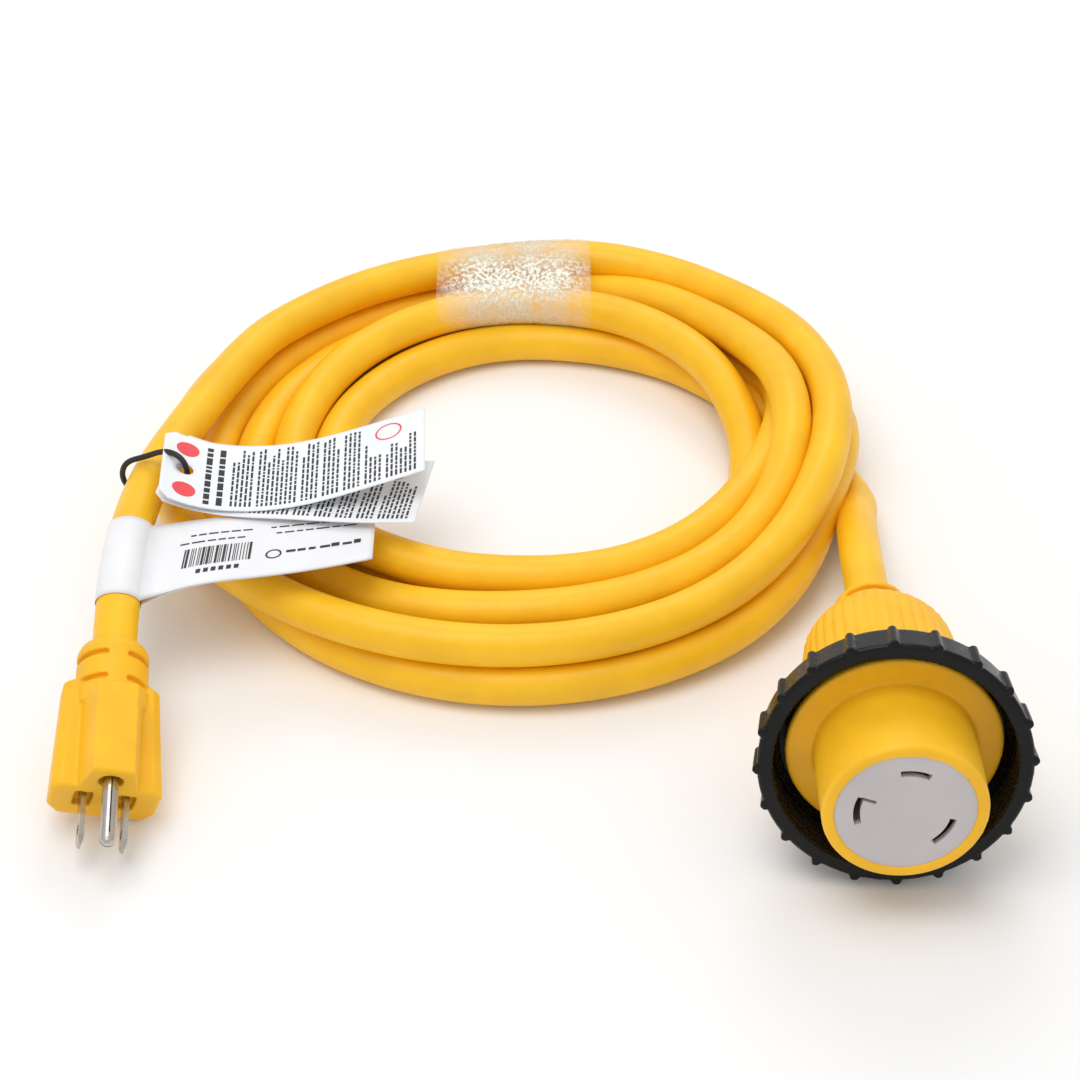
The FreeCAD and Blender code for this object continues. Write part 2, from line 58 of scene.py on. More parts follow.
def make_camera():
    data = bpy.data.cameras.new("camera")
    data.lens = LENS
    data.sensor_width = SENSOR
    camera = bpy.data.objects.new("camera", data)
    bpy.context.scene.collection.objects.link(camera)
    camera.location = Vector(CAMERA_AT) * MM
    look = Vector(CAMERA_AIM) - Vector(CAMERA_AT)
    camera.rotation_euler = look.to_track_quat("-Z", "Y").to_euler()
    bpy.context.scene.camera = camera


def area_light(name, at, size, power):
    """A round soft light at a place in metres, aimed at the subject."""
    data = bpy.data.lights.new(name, "AREA")
    data.shape = "DISK"
    data.size = size
    data.energy = power
    lamp = bpy.data.objects.new(name, data)
    bpy.context.scene.collection.objects.link(lamp)
    lamp.location = at
    lamp.rotation_euler = (Vector(SUBJECT) - Vector(at)).to_track_quat("-Z", "Y").to_euler()


def make_studio():
    floor = bpy.data.objects.new("floor", bpy.data.meshes.new("floor"))
    side = FLOOR_HALF
    corners = [(-side, -side, 0), (side, -side, 0), (side, side, 0), (-side, side, 0)]
    floor.data.from_pydata(corners, [], [(0, 1, 2, 3)])
    bpy.context.scene.collection.objects.link(floor)
    floor.location.z = -FLOOR_DROP
    floor.data.materials.append(plain("floor", FLOOR_COLOUR, FLOOR_ROUGHNESS))
    world = bpy.data.worlds.new("studio")
    world.use_nodes = True
    world.node_tree.nodes["Background"].inputs["Color"].default_value = (1, 1, 1, 1)
    world.node_tree.nodes["Background"].inputs["Strength"].default_value = SKY_STRENGTH
    bpy.context.scene.world = world
    bpy.context.scene.view_settings.view_transform = "Standard"
    area_light("key", (-0.35, -0.1, 1.25), 0.9, 6.0)
    area_light("back", (0.0, 0.9, 0.9), 0.6, 2.0)


# ---------------------------------------------------------------- materials

MOTTLE_SCALE = 60.0          # features per metre of the slow change in colour
GLOSS_CHANGE = 0.07
TAPE_MIDDLE = (-0.1095, 0.2385)          # metres, x and y of the middle of the tape's milky haze and of its painted highlight flecks
HAZE_AND_HIGHLIGHT_WITHIN, CLEAR = (0.013, 0.003), (0.027, 0.013)    # metres from it in x and y: haze and painted highlights at full strength within the first, clear past the second


def plain(name, colour, roughness):
    material = bpy.data.materials.new(name)
    material.use_nodes = True
    shader = material.node_tree.nodes["Principled BSDF"]
    shader.inputs["Base Color"].default_value = (*colour, 1)
    shader.inputs["Roughness"].default_value = roughness
    return material


def add_noise(tree, scale, stretch=(1, 1, 1), detail=3.0):
    """A noise texture over the piece's own coordinates, scale in features per metre."""
    coordinates = tree.nodes.new("ShaderNodeTexCoord")
    mapping = tree.nodes.new("ShaderNodeMapping")
    mapping.inputs["Scale"].default_value = stretch
    noise = tree.nodes.new("ShaderNodeTexNoise")
    noise.inputs["Scale"].default_value = scale
    noise.inputs["Detail"].default_value = detail
    tree.links.new(coordinates.outputs["Object"], mapping.inputs["Vector"])
    tree.links.new(mapping.outputs["Vector"], noise.inputs["Vector"])
    return noise


def ramp(tree, source, stops):
    """Maps a factor to colours given as (position, colour)."""
    node = tree.nodes.new("ShaderNodeValToRGB")
    elements = node.color_ramp.elements
    while len(elements) < len(stops):
        elements.new(0.5)
    for element, (position, colour) in zip(elements, stops):
        element.position = position
        element.color = (*colour, 1)
    tree.links.new(source, node.inputs["Fac"])
    return node


def spread(tree, source, low, high):
    """Maps a noise's middle range to low..high."""
    node = tree.nodes.new("ShaderNodeMapRange")
    node.inputs["From Min"].default_value = 0.3
    node.inputs["From Max"].default_value = 0.7
    node.inputs["To Min"].default_value = low
    node.inputs["To Max"].default_value = high
    tree.links.new(source, node.inputs["Value"])
    return node


def product(tree, sources, clamp):
    """Multiplies several factors."""
    value = sources[0]
    for source in sources[1:]:
        node = tree.nodes.new("ShaderNodeMath")
        node.operation = "MULTIPLY"
        node.use_clamp = clamp
        tree.links.new(value, node.inputs[0])
        tree.links.new(source, node.inputs[1])
        value = node.outputs["Value"]
    return value


def finish_bump(tree, source, strength, distance):
    bump = tree.nodes.new("ShaderNodeBump")
    bump.inputs["Strength"].default_value = strength
    bump.inputs["Distance"].default_value = distance * MM
    tree.links.new(source, bump.inputs["Height"])
    tree.links.new(bump.outputs["Normal"], tree.nodes["Principled BSDF"].inputs["Normal"])


def surface(name, colour, roughness, grain=900.0, bump=0.15, depth=0.1, vary=0.07, stretch=(1, 1, 1),
            metallic=0.0, specular=0.5):
    """A moulded, drawn or plated surface: mottled colour, uneven gloss and a fine grain."""
    material = plain(name, colour, roughness)
    tree = material.node_tree
    shader = tree.nodes["Principled BSDF"]
    shader.inputs["Metallic"].default_value = metallic
    shader.inputs["Specular IOR Level"].default_value = specular
    broad = add_noise(tree, MOTTLE_SCALE, detail=4.0)
    dark = tuple(c * (1 - vary) for c in colour)
    light = tuple(min(1.0, c * (1 + vary)) for c in colour)
    tint = ramp(tree, broad.outputs["Fac"], [(0.3, dark), (0.7, light)])
    tree.links.new(tint.outputs["Color"], shader.inputs["Base Color"])
    fine = add_noise(tree, grain, stretch)
    gloss = spread(tree, fine.outputs["Fac"], roughness - GLOSS_CHANGE, roughness + GLOSS_CHANGE)
    tree.links.new(gloss.outputs["Result"], shader.inputs["Roughness"])
    finish_bump(tree, fine.outputs["Fac"], bump, depth)
    return material


def nearness(tree, coordinate, middle, near, far):
    """1 within near of the middle, falling to little beyond far."""
    away = tree.nodes.new("ShaderNodeMath")
    away.operation = "SUBTRACT"
    away.inputs[1].default_value = middle
    tree.links.new(coordinate, away.inputs[0])
    size = tree.nodes.new("ShaderNodeMath")
    size.operation = "ABSOLUTE"
    tree.links.new(away.outputs["Value"], size.inputs[0])
    band = tree.nodes.new("ShaderNodeMapRange")
    band.inputs["From Min"].default_value = near
    band.inputs["From Max"].default_value = far
    band.inputs["To Min"].default_value = 1.0
    band.inputs["To Max"].default_value = 0.12
    tree.links.new(size.outputs["Value"], band.inputs["Value"])
    return band.outputs["Result"]


def clear_film(name):
    """Thin crinkled tape: clear at its edges, milky along its middle, with painted highlights there: whitish
    flecks where the film is made nearly opaque, standing in for light caught by its crinkles.
    """
    material = plain(name, (0.93, 0.92, 0.78), 0.12)
    tree = material.node_tree
    shader = tree.nodes["Principled BSDF"]
    shader.inputs["Specular IOR Level"].default_value = 0.8
    # one noise for the crinkles' real bump and for the painted highlight flecks
    crinkles_and_glints = add_noise(tree, 820.0, (1.0, 0.75, 0.75), 5.0)
    haze = add_noise(tree, 110.0, detail=5.0)
    coordinates = tree.nodes.new("ShaderNodeTexCoord")
    parts = tree.nodes.new("ShaderNodeSeparateXYZ")
    tree.links.new(coordinates.outputs["Object"], parts.inputs["Vector"])
    across, along = [nearness(tree, parts.outputs[axis], middle, near, far)
                     for axis, middle, near, far in zip("XY", TAPE_MIDDLE, HAZE_AND_HIGHLIGHT_WITHIN, CLEAR)]
    # painted highlights: the noise's peaks raise the whitish film's alpha in a band along the tape's middle
    painted_glints = spread(tree, crinkles_and_glints.outputs["Fac"], -1.0, 1.9)
    milk = spread(tree, haze.outputs["Fac"], 0.1, 0.9)
    both = tree.nodes.new("ShaderNodeMath")
    both.operation = "MULTIPLY_ADD"
    both.inputs[1].default_value = 0.5
    tree.links.new(product(tree, [across, milk.outputs["Result"]], False), both.inputs[0])
    tree.links.new(product(tree, [across, along, painted_glints.outputs["Result"]], True), both.inputs[2])
    alpha = tree.nodes.new("ShaderNodeMapRange")
    alpha.inputs["To Min"].default_value = 0.035
    alpha.inputs["To Max"].default_value = 0.92
    tree.links.new(both.outputs["Value"], alpha.inputs["Value"])
    tree.links.new(alpha.outputs["Result"], shader.inputs["Alpha"])
    finish_bump(tree, crinkles_and_glints.outputs["Fac"], 0.9, 0.6)
    return material


def make_materials():
    """One finished material for each finish, and the inks."""
    return {
        "yellow_vinyl": surface("yellow_vinyl", (0.95, 0.505, 0.013), 0.46, grain=700, bump=0.12,
                                specular=0.36),
        "cord_jacket": surface("cord_jacket", (0.96, 0.53, 0.012), 0.40, grain=420, bump=0.2, depth=0.12,
                               specular=0.38),
        "black_nylon": surface("black_nylon", (0.006, 0.006, 0.006), 0.27, grain=800, bump=0.03, vary=0.25,
                               specular=0.2),
        "grey_insert": surface("grey_insert", (0.55, 0.51, 0.515), 0.45, grain=600, bump=0.08, vary=0.04),
        "cream_plastic": surface("cream_plastic", (0.72, 0.66, 0.52), 0.4, grain=600, bump=0.1),
        "nickel": surface("nickel", (0.50, 0.47, 0.42), 0.27, grain=500, bump=0.12, stretch=(1, 1, 0.15),
                          metallic=1.0, vary=0.1),
        "brass": surface("brass", (0.72, 0.50, 0.20), 0.25, grain=500, bump=0.12, metallic=1.0, vary=0.1),
        "black_wire": surface("black_wire", (0.02, 0.02, 0.02), 0.4),
        "white_wire": surface("white_wire", (0.85, 0.85, 0.83), 0.4),
        "green_wire": surface("green_wire", (0.02, 0.22, 0.05), 0.4),
        "clear_film": clear_film("clear_film"),
        "white_paper": surface("white_paper", (0.86, 0.88, 0.91), 0.75, grain=1500, bump=0.25, depth=0.05,
                               vary=0.03, specular=0.25),
        "white_label": surface("white_label", (0.84, 0.84, 0.86), 0.5, grain=1100, bump=0.12, depth=0.05,
                               vary=0.03),
        "black_string": surface("black_string", (0.012, 0.012, 0.012), 0.55, grain=1800, bump=0.5,
                                depth=0.15),
        "black_ink": surface("black_ink", (0.03, 0.03, 0.035), 0.7, bump=0.05, vary=0.2),
        "red_ink": surface("red_ink", (0.83, 0.075, 0.085), 0.65, bump=0.05, vary=0.05),
    }


FINISH_NODES = {
    "grey_insert": ["contact_carrier"],
    "cream_plastic": ["carrier_cover", "plug_blade_carrier"],
    "nickel": ["plug_line_blade", "plug_neutral_blade", "plug_ground_pin"],
    "brass": ["connector_line_contact", "connector_neutral_contact", "connector_ground_contact"],
    "black_wire": ["connector_line_wire", "plug_line_wire"],
    "white_wire": ["connector_neutral_wire", "plug_neutral_wire"],
    "green_wire": ["connector_ground_wire", "plug_ground_wire"],
}


def finish_nodes(materials):
    for finish, nodes in FINISH_NODES.items():
        for node in nodes:
            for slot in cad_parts[node].material_slots:
                slot.material = materials[finish]


# ---------------------------------------------------------------- cord

PLUG_LEAD = [(-229.9, 21.49, 26.2), (-230.79, 43.54, 32.69), (-231.79, 74.89, 33.6),
             (-230.49, 106.89, 29.9), (-225.89, 135.89, 26.2)]
CONNECTOR_LEAD = [(0.81, 30.95, 34.093), (0.81, 60.79, 31.06), (1.3, 86.89, 25.4), (3.51, 114.89, 14.6)]
COIL_CENTRE = (-111.89, 149.79)

# one row per turn, from the plug: (degrees from the left side by way of the far side, radius, height)
TURNS = [
    [(0, 110, 24), (45, 104, 20), (90, 107, 19), (125, 114, 20), (155, 114, 28), (170, 111.5, 30.5),
     (187, 109.5, 33), (205, 108, 27), (225, 108, 21), (270, 104, 19), (315, 108, 19)],
    [(0, 115, 7), (45, 117, 7), (90, 117, 7), (135, 117, 7), (160, 117, 10), (178, 114.5, 19),
     (190, 113, 20.5), (205, 113, 15), (225, 113, 10), (270, 108, 7), (315, 104, 7)],
    [(0, 101.5, 7), (45, 103, 7), (90, 103.4, 7), (112, 101, 13), (131, 99.4, 20), (150, 98.5, 24),
     (168, 97, 31), (183, 96, 30), (205, 94, 23), (225, 92, 20), (270, 86.6, 19), (315, 87, 12)],
    [(0, 88, 7), (45, 89, 7), (90, 89.7, 7), (120, 96, 7), (150, 103, 7), (160, 101.5, 14),
     (170, 98, 20.5), (182, 91, 21), (200, 85.5, 20.5), (225, 80, 20), (270, 70, 20), (315, 72, 18)],
    [(0, 74.7, 8), (45, 78, 16), (90, 83, 18.4), (135, 84, 19), (150, 84, 20), (163, 85.5, 14),
     (173, 84.3, 8), (187, 82.3, 7), (225, 80, 7), (270, 78, 7), (315, 70, 7)],
    [(0, 61, 7), (45, 66, 7), (90, 75.7, 7), (120, 83, 7), (140, 88.2, 7), (151, 92.4, 7), (165, 99.5, 7),
     (180, 112, 7)],
]
UNDER_CROSSING = [(6.4, 130.6, 7.5)]
STEP = 5                     # degrees between the stations that are relaxed
KEEP = 3                     # one control point for every third station
SOFTEN = 7                   # length of the window that softens the rows' changes
JOIN = 4                     # stations given up or left free where a lead joins the coil
LEAD_STEP = 8.0
FAR_ALONG = 6                # stations nearer than this along the cord don't push each other
PUSH, HOLD, STIFFNESS = 0.5, 0.02, 0.3   # shares applied at each step of the relaxation


def coil_stations():
    """The turns as one run of points, a station every few degrees, with softened changes."""
    angles, radii, heights = [], [], []
    for turn, row in enumerate(TURNS):
        for angle, radius, height in row:
            angles.append(angle + 360 * turn)
            radii.append(radius)
            heights.append(max(height, CORD_R))
    at = np.arange(0, angles[-1] + 1e-6, STEP)
    window = np.hanning(SOFTEN)
    window /= window.sum()
    edge = SOFTEN // 2
    soft = []
    for values in (radii, heights):
        line = np.interp(at, angles, values)
        padded = np.concatenate([np.full(edge, line[0]), line, np.full(edge, line[-1])])
        soft.append(np.convolve(padded, window, "valid"))
    turn = np.radians(at)
    x = COIL_CENTRE[0] - soft[0] * np.cos(turn)
    y = COIL_CENTRE[1] + soft[0] * np.sin(turn)
    return np.stack([x, y, soft[1]], 1)


def between(points, spacing):
    """Points at even spacing along straight runs."""
    points = np.array(points, float)
    reach = np.concatenate([[0], np.cumsum(np.linalg.norm(np.diff(points, axis=0), axis=1))])
    count = max(1, int(round(reach[-1] / spacing)))
    at = np.linspace(0, reach[-1], count + 1)
    return np.stack([np.interp(at, reach, points[:, k]) for k in range(3)], 1)


def relax(points, free, steps=220):
    """Pushes strands that lie closer than a diameter apart, keeps the run smooth and near its lane."""
    lane = points.copy()
    index = np.arange(len(points))
    other = np.abs(index[:, None] - index[None, :]) > FAR_ALONG
    free = free[:, None]
    for _ in range(steps):
        gap = points[:, None, :] - points[None, :, :]
        distance = np.linalg.norm(gap, axis=2)
        close = (distance < 2 * CORD_R) & other
        push = np.where(close, (2 * CORD_R - distance) / np.maximum(distance, 1e-6), 0.0)
        shift = (gap * push[:, :, None]).sum(1) / np.maximum(close.sum(1), 1)[:, None]
        points = points + free * (PUSH * shift + HOLD * (lane - points))
        bend = np.zeros_like(points)
        bend[1:-1] = (points[:-2] + points[2:]) / 2 - points[1:-1]
        change = np.zeros_like(points)
        change[1:-1] = (bend[:-2] + bend[2:]) / 2 - bend[1:-1]
        points = points - STIFFNESS * free * change
        points[:, 2] = np.maximum(points[:, 2], CORD_R)
    return points


def cord_points():
    """The whole cord's control points, from the connector's collar to the plug."""
    coil = coil_stations()
    head = between(PLUG_LEAD + [tuple(coil[JOIN])], LEAD_STEP)
    tail = between([tuple(coil[-1])] + UNDER_CROSSING + CONNECTOR_LEAD[::-1], LEAD_STEP)
    run = np.concatenate([head[:-1], coil[JOIN:], tail[1:]])
    free = np.ones(len(run))
    free[:len(head) - JOIN] = 0
    free[JOIN - len(tail):] = 0
    run = relax(run, free)
    start, end = len(head) + 1, len(run) - len(tail) + 2
    kept = run[start:end:KEEP]
    line = PLUG_LEAD + [tuple(p) for p in kept] + UNDER_CROSSING + CONNECTOR_LEAD[::-1]
    return line[::-1]


def curve_object(name, points, radius, closed=False, resolution=10):
    """A smooth tube along control points in millimetres."""
    data = bpy.data.curves.new(name, "CURVE")
    data.dimensions = "3D"
    spline = data.splines.new("NURBS")
    spline.points.add(len(points) - 1)
    for point, co in zip(spline.points, points):
        point.co = (co[0] * MM, co[1] * MM, co[2] * MM, 1)
    spline.order_u = 3
    spline.use_cyclic_u = closed
    spline.use_endpoint_u = not closed
    spline.resolution_u = resolution
    data.bevel_depth = radius * MM
    data.bevel_resolution = 8
    data.use_fill_caps = not closed
    obj = bpy.data.objects.new(name, data)
    bpy.context.scene.collection.objects.link(obj)
    return obj


def centre_line(curve):
    """The curve's own line as points in millimetres, read from its spline without the bevel."""
    copy = curve.copy()
    copy.data = curve.data.copy()
    copy.data.bevel_depth = 0
    bpy.context.scene.collection.objects.link(copy)
    mesh = bpy.data.meshes.new_from_object(copy.evaluated_get(bpy.context.evaluated_depsgraph_get()))
    line = np.array([v.co[:] for v in mesh.vertices]) / MM
    bpy.data.objects.remove(copy)
    return line


# ---------------------------------------------------------------- mesh helpers

def mesh_object(name, points, faces, material, smooth=True):
    data = bpy.data.meshes.new(name)
    data.from_pydata([Vector(p) * MM for p in points], [], faces)
    data.materials.append(material)
    if smooth:
        data.polygons.foreach_set("use_smooth", [True] * len(data.polygons))
    obj = bpy.data.objects.new(name, data)
    bpy.context.scene.collection.objects.link(obj)
    return obj


def grid_object(name, rows, material):
    """A quad mesh through equal rows of points."""
    wide = len(rows[0])
    faces = []
    for i in range(len(rows) - 1):
        for j in range(wide - 1):
            faces.append((i * wide + j, (i + 1) * wide + j, (i + 1) * wide + j + 1, i * wide + j + 1))
    return mesh_object(name, [p for row in rows for p in row], faces, material)


def thicken(obj, thickness):
    modifier = obj.modifiers.new("thickness", "SOLIDIFY")
    modifier.thickness = thickness * MM
    modifier.offset = 0


def softened(node, name, voxel, rounds, body, finish, materials):
    """A copy of a moulded CAD part with its edges rounded, in the CAD part's place."""
    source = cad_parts[node]
    copy = bpy.data.objects.new(name, source.data.copy())
    copy.matrix_world = source.matrix_world
    bpy.context.scene.collection.objects.link(copy)
    remesh = copy.modifiers.new("remesh", "REMESH")
    remesh.mode = "VOXEL"
    remesh.voxel_size = voxel * MM
    smooth = copy.modifiers.new("smooth", "SMOOTH")
    smooth.factor = 0.5
    smooth.iterations = rounds
    bpy.context.view_layer.update()
    mesh = bpy.data.meshes.new_from_object(copy.evaluated_get(bpy.context.evaluated_depsgraph_get()))
    mesh.materials.clear()
    mesh.materials.append(materials[finish])
    mesh.polygons.foreach_set("material_index", [0] * len(mesh.polygons))
    mesh.polygons.foreach_set("use_smooth", [True] * len(mesh.polygons))
    copy.modifiers.clear()
    copy.data = mesh
    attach(copy, body)
    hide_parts(node)
    return copy


def smooth_curve(stations, at):
    """Smooth values through (position, value...) rows, by a natural cubic through the rows."""
    rows = np.array(stations, float)
    x, y = rows[:, 0], rows[:, 1:]
    n = len(x)
    h = np.diff(x)
    matrix = np.eye(n)
    right = np.zeros((n, y.shape[1]))
    for i in range(1, n - 1):
        matrix[i, i - 1:i + 2] = (h[i - 1], 2 * (h[i - 1] + h[i]), h[i])
        right[i] = 6 * ((y[i + 1] - y[i]) / h[i] - (y[i] - y[i - 1]) / h[i - 1])
    curve = np.linalg.solve(matrix, right)
    k = min(max(int(np.searchsorted(x, at)) - 1, 0), n - 2)
    a, b = (x[k + 1] - at) / h[k], (at - x[k]) / h[k]
    bend = (a ** 3 - a) * curve[k] + (b ** 3 - b) * curve[k + 1]
    return a * y[k] + b * y[k + 1] + bend * h[k] ** 2 / 6


# ---------------------------------------------------------------- tape

TAPE_X = (-138.4, -82.4)
TAPE_BEHIND_Y = 185.0        # the tape is round the strands on the coil's far side
TAPE_COLUMNS, TAPE_ROUND = 60, 150
TAPE_GAP = 0.2               # left round each strand, and again outside the outline they make
TAPE_T, CREASE_DEPTH = 0.1, 0.25
FLOOR_GAP = 0.1


def strands_at(line, x):
    """Where the cord's far side crosses a plane across it, as (y, z)."""
    side = line[:, 0] - x
    hits = []
    for i in range(len(line) - 1):
        if side[i] * side[i + 1] <= 0 and line[i, 1] > TAPE_BEHIND_Y and side[i] != side[i + 1]:
            p = line[i] + (line[i + 1] - line[i]) * side[i] / (side[i] - side[i + 1])
            hits.append((p[1], p[2]))
    return hits


def hull(points):
    points = sorted(set(points))

    def half(run):
        kept = []
        for p in run:
            while len(kept) > 1:
                (ax, ay), (bx, by) = kept[-2], kept[-1]
                if (bx - ax) * (p[1] - ay) - (by - ay) * (p[0] - ax) > 0:
                    break
                kept.pop()
            kept.append(p)
        return kept[:-1]

    return half(points) + half(points[::-1])


def reach_of(polygon, centre, angle):
    """Distance from centre to the polygon's edge in one direction."""
    ux, uy = math.cos(angle), math.sin(angle)
    for (ax, ay), (bx, by) in zip(polygon, polygon[1:] + polygon[:1]):
        dx, dy = bx - ax, by - ay
        cross = ux * dy - uy * dx
        if abs(cross) < 1e-9:
            continue
        px, py = ax - centre[0], ay - centre[1]
        t = (px * dy - py * dx) / cross
        s = (px * uy - py * ux) / cross
        if t > 0 and -1e-9 <= s <= 1 + 1e-9:
            return t
    return 1.0


def crease(a, b):
    """A repeatable uneven wave from -1 to 1."""
    return (math.sin(3.1 * a + 7.3 * math.sin(1.7 * b)) + math.sin(11.3 * a - 5.9 * b)
            + math.sin(5.3 * b + 2.7 * math.sin(4.1 * a))) / 3


def clear_of(point, centre, reach):
    """The point, pushed out of a circle."""
    dy, dz = point[0] - centre[0], point[1] - centre[1]
    size = math.hypot(dy, dz)
    if size >= reach:
        return point
    return centre[0] + dy / size * reach, centre[1] + dz / size * reach


def circle(centre, radius, sides):
    """Points round a circle, as (y, z)."""
    turns = [2 * math.pi * k / sides for k in range(sides)]
    return [(centre[0] + radius * math.cos(turn), centre[1] + radius * math.sin(turn)) for turn in turns]


def tape_row(line, i):
    """The tape's outline in one plane across the bundle: round every strand but the innermost."""
    x = TAPE_X[0] + (TAPE_X[1] - TAPE_X[0]) * i / TAPE_COLUMNS
    strands = strands_at(line, x)
    inner = min(strands)
    reach = CORD_R + TAPE_GAP
    polygon = hull([p for strand in strands if strand != inner for p in circle(strand, reach, 36)])
    centre = (sum(p[0] for p in polygon) / len(polygon), sum(p[1] for p in polygon) / len(polygon))
    row = []
    for k in range(TAPE_ROUND + 1):
        turn = 2 * math.pi * (k % TAPE_ROUND) / TAPE_ROUND
        out = reach_of(polygon, centre, turn) + TAPE_GAP + CREASE_DEPTH * crease(0.9 * i, 14 * turn)
        point = (centre[0] + out * math.cos(turn), centre[1] + out * math.sin(turn))
        y, z = clear_of(point, inner, reach)
        row.append((x, y, max(FLOOR_GAP, z)))
    return row


def make_tape(line, material):
    tape = grid_object("tape", [tape_row(line, i) for i in range(TAPE_COLUMNS + 1)], material)
    weld = tape.modifiers.new("weld", "WELD")
    weld.merge_threshold = 0.01 * MM
    thicken(tape, TAPE_T)
    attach(tape, "cord_set")
    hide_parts("coil_tape")
    return tape


# ---------------------------------------------------------------- printed marks

PRINT_LIFT = 0.2             # how far print stands above the middle of its sheet
PATCH_STEP = (1.2, 2.5)      # a block is cut in quads of one to two of these, so it follows a curved sheet


def patch(points, faces, place, u0, u1, v0, v1):
    """A small printed block over a sheet: place(u, v) gives the sheet's point."""
    across = max(1, int((u1 - u0) / PATCH_STEP[0]))
    up = max(1, int((v1 - v0) / PATCH_STEP[1]))
    start = len(points)
    for i in range(across + 1):
        for j in range(up + 1):
            p = place(u0 + (u1 - u0) * i / across, v0 + (v1 - v0) * j / up)
            points.append((p[0], p[1], p[2] + PRINT_LIFT))
    wide = up + 1
    for i in range(across):
        for j in range(up):
            a = start + i * wide + j
            faces.append((a, a + wide, a + wide + 1, a + 1))


def disc(points, faces, place, u, v, outer, inner=0.0, sides=28, rings=4):
    """A printed dot, or a ring where inner isn't 0."""
    start = len(points)
    for k in range(sides):
        turn = 2 * math.pi * k / sides
        for step in range(rings + 1):
            radius = inner + (outer - inner) * step / rings
            p = place(u + radius * math.cos(turn), v + radius * math.sin(turn))
            points.append((p[0], p[1], p[2] + PRINT_LIFT))
    wide = rings + 1
    for k in range(sides):
        a, b = start + wide * k, start + wide * ((k + 1) % sides)
        for step in range(rings):
            faces.append((a + step, a + step + 1, b + step + 1, b + step))


def row_of_words(points, faces, place, rng, u, v0, v1, tall, words=(0.9, 3.4), gap=0.55):
    """A line of word-like dashes that runs along v at a given u."""
    v = v0
    while v < v1 - words[0]:
        end = min(v1, v + rng.uniform(*words))
        patch(points, faces, place, u, u + tall, v, end)
        v = end + gap


# ---------------------------------------------------------------- flag label

# the flag's two edges, as (share of the way from the lead to the tip, x, y, z)
FLAG_NEAR = [(0, -223.9, 52.2, 33.2), (0.1, -216.7, 53.7, 35.0), (0.22, -208.3, 55.6, 36.4),
             (0.45, -192.0, 59.1, 36.5), (0.7, -174.4, 62.9, 36.2), (1, -153.2, 67.5, 37.3)]
FLAG_FAR = [(0, -222.4, 89.2, 32.4), (0.21, -208.4, 91.9, 33.0), (0.48, -189.7, 95.0, 32.6),
            (0.75, -171.0, 98.2, 32.2), (1, -153.6, 101.0, 31.6)]
FLAG_LONG, FLAG_WIDE = 72.0, 37.0
LEAD_FROM = 135.0            # the lead is the run of cord from its last point beyond this y
FLAG_ROOT, PLY_SPREAD = 0.1, 0.5      # where the two plies part round the lead, and how far
LABEL_T, SLEEVE_GAP = 0.16, 0.3
PLY_GAP, PLY_ROWS, BAND_ROWS = 0.35, 30, 44
BAND_NEAR, BAND_FAR = 51.2, 88.6
BAND_START, BAND_END = -6.0, -346.0      # degrees round the lead, from its right side under it and over


def flag_point(f, w):
    """A point of the flag, f from the lead to the tip and w from the near to the far edge."""
    near, far = smooth_curve(FLAG_NEAR, f), smooth_curve(FLAG_FAR, f)
    return near + (far - near) * w


def lead_frame(line, y):
    """Centre, sideways and upward directions of the plug's lead where it passes y."""
    part = line[np.flatnonzero(line[:, 1] > LEAD_FROM)[-1]:][::-1]

    def at(y):
        return np.array([np.interp(y, part[:, 1], part[:, 0]), y, np.interp(y, part[:, 1], part[:, 2])])

    centre = at(y)
    along = at(y + 2) - centre
    along /= np.linalg.norm(along)
    side = np.cross(along, (0, 0, 1))
    side /= np.linalg.norm(side)
    return centre, side, np.cross(side, along)


def band_point(line, degrees, w):
    """A point of the label where it wraps the lead, w from its near to its far edge."""
    turn = math.radians(degrees)
    lean = math.sin(turn)
    y = BAND_NEAR - 1.5 * lean + w * (BAND_FAR - BAND_NEAR - 2.0 * lean)
    centre, side, up = lead_frame(line, y)
    reach = CORD_R + SLEEVE_GAP
    return centre + reach * (math.cos(turn) * side + math.sin(turn) * up)


def flag_print(place):
    """Bars with blocks under them, and lines of dashes, where a label has its code and its text."""
    rng = random.Random(7)
    points, faces = [], []
    u = 11.0
    while u < 33.0:
        thick = rng.choice((0.28, 0.28, 0.5, 0.8))
        patch(points, faces, place, u, u + thick, 10.5, 20.5)
        u += thick + rng.choice((0.3, 0.45, 0.7))
    for k in range(6):
        patch(points, faces, place, 16.0 + 2.4 * k, 17.5 + 2.4 * k, 6.2, 8.4)
    for v, u0, u1 in ((23.5, 9, 30), (27.5, 12, 32), (24.0, 40, 66), (27.6, 38, 68), (31.2, 46, 68)):
        along = u0
        while along < u1 - 1.5:
            end = min(u1, along + rng.uniform(1.6, 4.6))
            patch(points, faces, place, along, end, v, v + 0.7)
            along = end + 0.8
    blocks = ((3.0, 1.36), (2.6, 1.36), (2.2, 1.36), (3.2, 1.36), (2.6, 2.08), (3.0, 1.36), (2.2, 2.4))
    for k, (width, tall) in enumerate(blocks):
        u = 44.0 + 3.6 * k
        patch(points, faces, place, u, u + width, 12.0, 12.0 + tall)
    disc(points, faces, place, 40.0, 12.0, 2.6, 2.0)
    return points, faces


